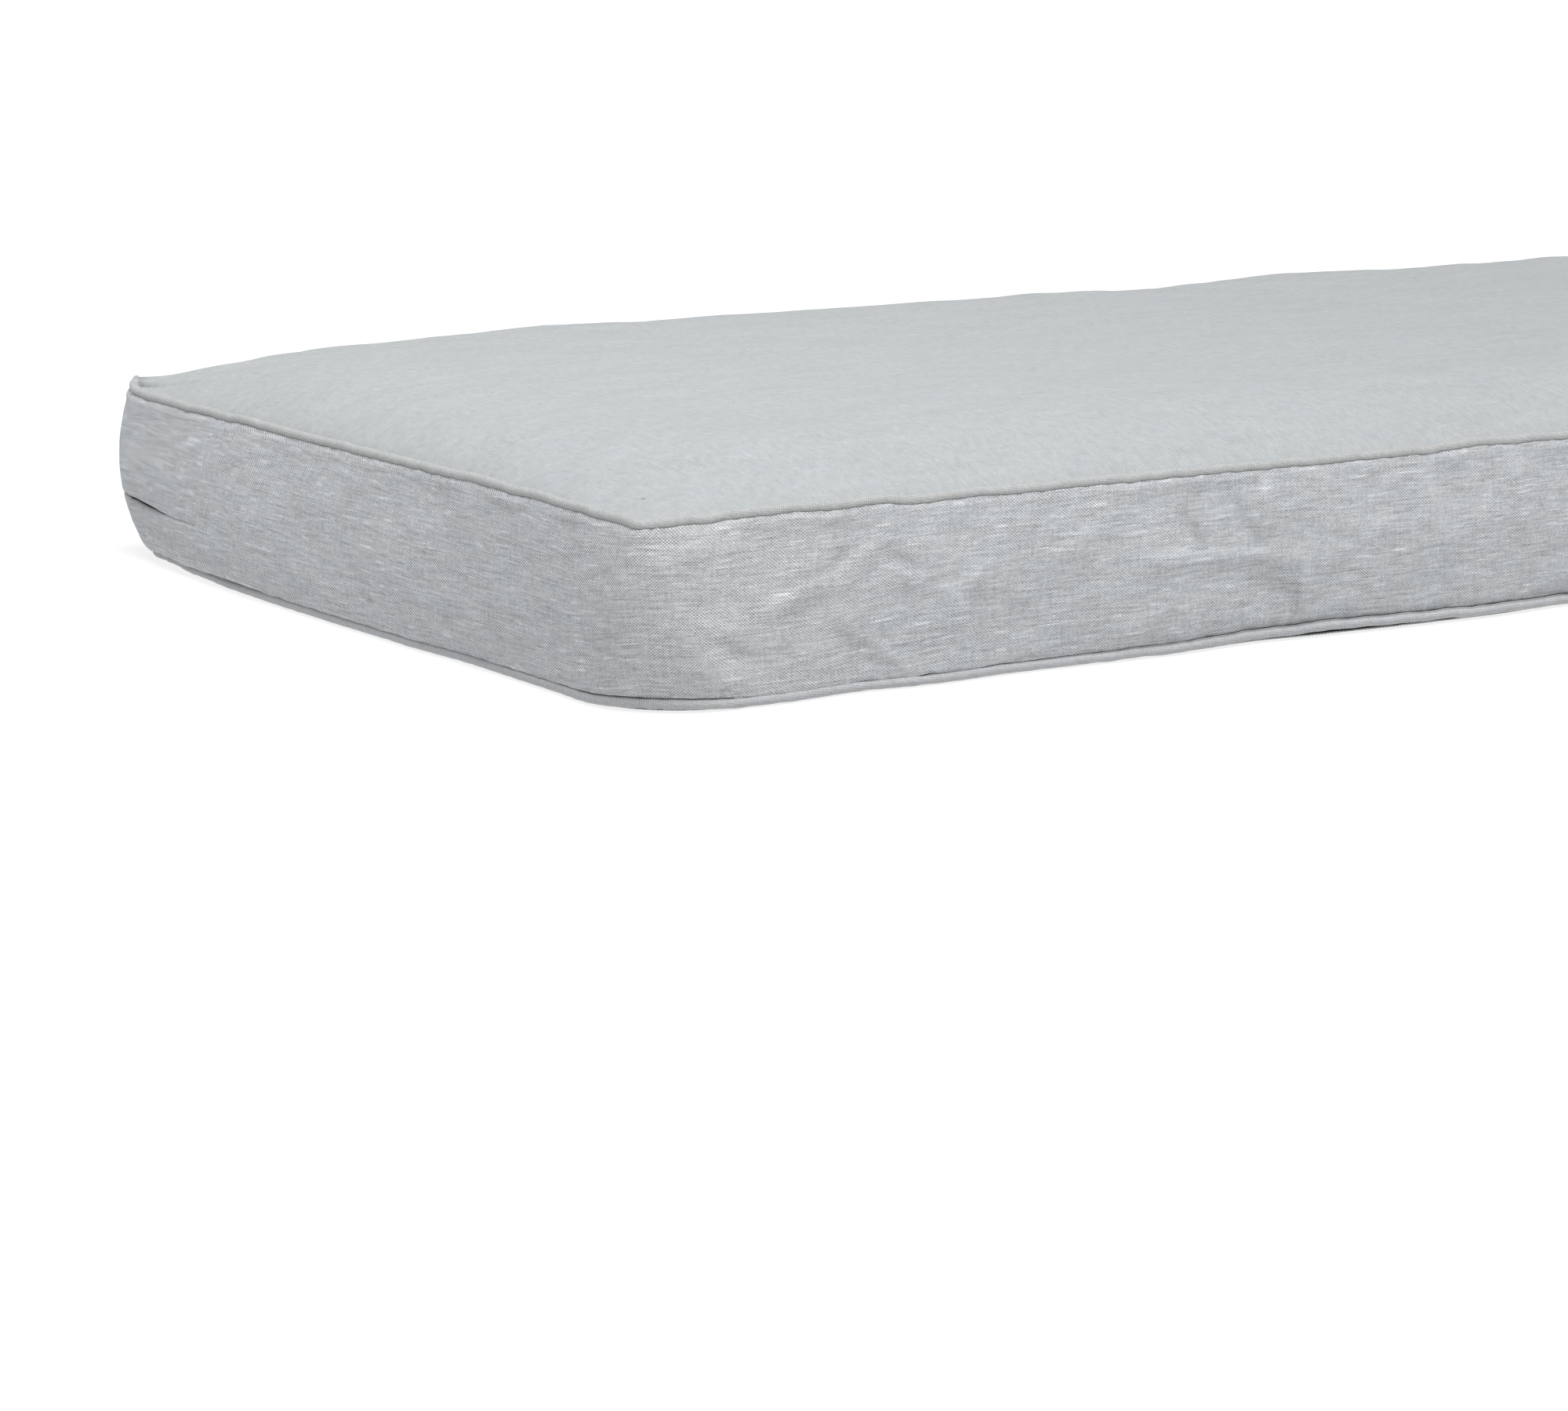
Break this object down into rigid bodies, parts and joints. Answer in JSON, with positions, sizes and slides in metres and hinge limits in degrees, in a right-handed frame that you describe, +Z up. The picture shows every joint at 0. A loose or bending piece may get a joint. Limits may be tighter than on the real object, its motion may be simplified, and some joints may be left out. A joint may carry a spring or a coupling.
{
  "type": "piped daybed mattress cover on its mattress",
  "caption": "Box-shaped linen daybed cover with piped seams, crowned top and a closure slit at the back, on its mattress.",
  "frame": {"origin": "centre of the flat underside, on the surface that the cover rests on", "axes": "+X along the length, +Y across towards the closure slit, +Z up"},
  "size_m": [1.9336, 0.7174, 0.145],
  "materials": {
    "linen_top": "matte plain-weave linen",
    "linen_wall": "matte plain-weave linen",
    "linen_piping": "matte bias-cut linen",
    "linen_under": "matte plain-weave linen",
    "filling": "matte ticking"
  },
  "bodies": {
    "root": {"mattress": "filling", "bottom_panel": "linen_under", "top_panel": "linen_top", "boxing_front": "linen_wall", "closure_upper": "linen_wall", "closure_lower": "linen_wall", "piping_top": "linen_piping", "piping_bottom": "linen_piping"}
  },
  "joints": []
}
